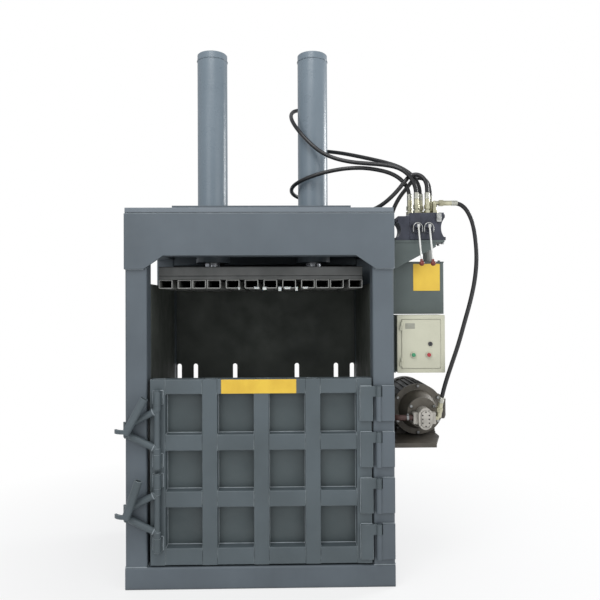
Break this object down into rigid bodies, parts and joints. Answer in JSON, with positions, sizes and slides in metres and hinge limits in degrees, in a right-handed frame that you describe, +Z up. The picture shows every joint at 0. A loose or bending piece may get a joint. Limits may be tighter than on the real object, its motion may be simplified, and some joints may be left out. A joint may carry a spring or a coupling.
{
  "type": "recycling baler",
  "caption": "Vertical press that squeezes card or film into bales: steel frame with a hinged ribbed door, hydraulic cylinders over a slotted platen, and a side power unit.",
  "frame": {"origin": "on the floor, at the centre of the frame's footprint", "axes": "+Z up, -Y towards the loading door, +X towards the hydraulic power unit"},
  "size_m": [1.8401, 0.967, 2.827],
  "materials": {
    "frame_paint": "worn grey-blue paint",
    "door_paint": "worn grey-blue paint",
    "chamber_steel": "dark, rubbed by the bales",
    "platen_steel": "dark, rubbed",
    "cylinder_paint": "smooth grey-blue paint",
    "rod_chrome": "polished",
    "bright_steel": "satin",
    "tank_paint": "worn grey paint",
    "valve_paint": "dark, oily",
    "zinc": "yellow zinc",
    "lever_steel": "white paint",
    "knob_plastic": "red brown",
    "box_paint": "cream powder coat",
    "green_plastic": "green",
    "red_plastic": "red",
    "gear_plastic": "dark",
    "motor_paint": "dark brown grey",
    "cast_paint": "dark",
    "pump_aluminium": "cast",
    "hose_rubber": "black, slightly ribbed"
  },
  "bodies": {
    "frame": {"front_base_beam": "frame_paint", "base_rails": "frame_paint", "chamber_floor": "chamber_steel", "front_posts": "frame_paint", "rear_posts": "frame_paint", "header_plate": "frame_paint", "top_beams": "frame_paint", "top_plate": "frame_paint", "side_walls": "chamber_steel", "wall_stiffeners": "frame_paint", "rear_wall": "chamber_steel", "cylinder_mount": "frame_paint", "fasteners": "bright_steel", "cylinder_barrels": "cylinder_paint", "cylinder_ends": "cylinder_paint", "cylinder_pipes": "cylinder_paint", "post_hinge_leaves": "frame_paint", "hinge_pins": "bright_steel", "lock_keepers": "frame_paint", "valve_bracket": "frame_paint", "valve_body": "valve_paint", "hose_fittings": "zinc", "oil_tank": "tank_paint", "tank_lid": "tank_paint", "control_box": "box_paint", "control_gear": "gear_plastic", "motor_shelf": "frame_paint", "motor_housing": "motor_paint", "fan_cover": "motor_paint", "bell_housing": "cast_paint", "gear_pump": "pump_aluminium", "suction_pipe": "bright_steel", "hose_cap_upper": "hose_rubber", "hose_rod_end": "hose_rubber", "hose_cap_lower": "hose_rubber", "hose_bulkhead": "hose_rubber", "hose_return": "hose_rubber", "hose_pressure": "hose_rubber"},
    "platen": {"platen_tubes": "platen_steel", "platen_deck": "platen_steel", "platen_channels": "platen_steel", "rod_flanges": "platen_steel", "cylinder_rods": "rod_chrome"},
    "door": {"door_sheet": "door_paint", "door_frame": "door_paint", "door_hinge_leaves": "door_paint", "lock_sleeves": "door_paint"},
    "upper_arm": {"upper_lock_arm": "door_paint"},
    "lower_arm": {"lower_lock_arm": "door_paint"},
    "upper_lever": {"upper_lock_lever": "door_paint"},
    "lower_lever": {"lower_lock_lever": "door_paint"},
    "left_spool": {"left_valve_lever": "lever_steel", "left_lever_knob": "knob_plastic"},
    "right_spool": {"right_valve_lever": "lever_steel", "right_lever_knob": "knob_plastic"},
    "box_door": {"box_door": "box_paint"},
    "green_button": {"green_button": "green_plastic"},
    "red_button": {"red_button": "red_plastic"},
    "box_lock": {"box_lock": "bright_steel"},
    "rotor": {"motor_rotor": "bright_steel"}
  },
  "joints": [
    {"name": "platen_travel", "type": "slide", "parent": "frame", "child": "platen", "axis": [0, 0, -1], "range_m": [0, 0.9]},
    {"name": "door_swing", "type": "hinge", "parent": "frame", "child": "door", "pos_m": [0.588, -0.455, 0], "axis": [0, 0, 1], "range_deg": [0, 130]},
    {"name": "upper_arm_swing", "type": "hinge", "parent": "door", "child": "upper_arm", "pos_m": [-0.508, -0.465, 0.796], "axis": [0, 0, 1], "range_deg": [0, 100]},
    {"name": "lower_arm_swing", "type": "hinge", "parent": "door", "child": "lower_arm", "pos_m": [-0.508, -0.465, 0.386], "axis": [0, 0, 1], "range_deg": [0, 100]},
    {"name": "upper_lever_turn", "type": "hinge", "parent": "upper_arm", "child": "upper_lever", "pos_m": [-0.656, -0.465, 0.796], "axis": [0, 0, 1], "range_deg": [-95, 0]},
    {"name": "lower_lever_turn", "type": "hinge", "parent": "lower_arm", "child": "lower_lever", "pos_m": [-0.656, -0.465, 0.386], "axis": [0, 0, 1], "range_deg": [-95, 0]},
    {"name": "left_spool_lever", "type": "hinge", "parent": "frame", "child": "left_spool", "pos_m": [0.8, -0.358, 1.812], "axis": [1, 0, 0], "range_deg": [-18, 18], "stiffness_Nm_per_rad": 12},
    {"name": "right_spool_lever", "type": "hinge", "parent": "frame", "child": "right_spool", "pos_m": [0.8575, -0.358, 1.812], "axis": [1, 0, 0], "range_deg": [-18, 18], "stiffness_Nm_per_rad": 12},
    {"name": "box_door_swing", "type": "hinge", "parent": "frame", "child": "box_door", "pos_m": [0.724, -0.3475, 1.204], "axis": [0, 0, -1], "range_deg": [0, 110]},
    {"name": "green_press", "type": "slide", "parent": "box_door", "child": "green_button", "axis": [0, 1, 0], "range_m": [0, 0.004], "stiffness_N_per_m": 600},
    {"name": "red_press", "type": "slide", "parent": "box_door", "child": "red_button", "axis": [0, 1, 0], "range_m": [0, 0.004], "stiffness_N_per_m": 600},
    {"name": "box_lock_turn", "type": "hinge", "parent": "box_door", "child": "box_lock", "pos_m": [0.873, -0.34, 1.204], "axis": [0, 1, 0], "range_deg": [0, 90]},
    {"name": "rotor_spin", "type": "hinge", "parent": "frame", "child": "rotor", "pos_m": [0.85, 0.05, 0.834], "axis": [0, 1, 0], "continuous": true}
  ]
}
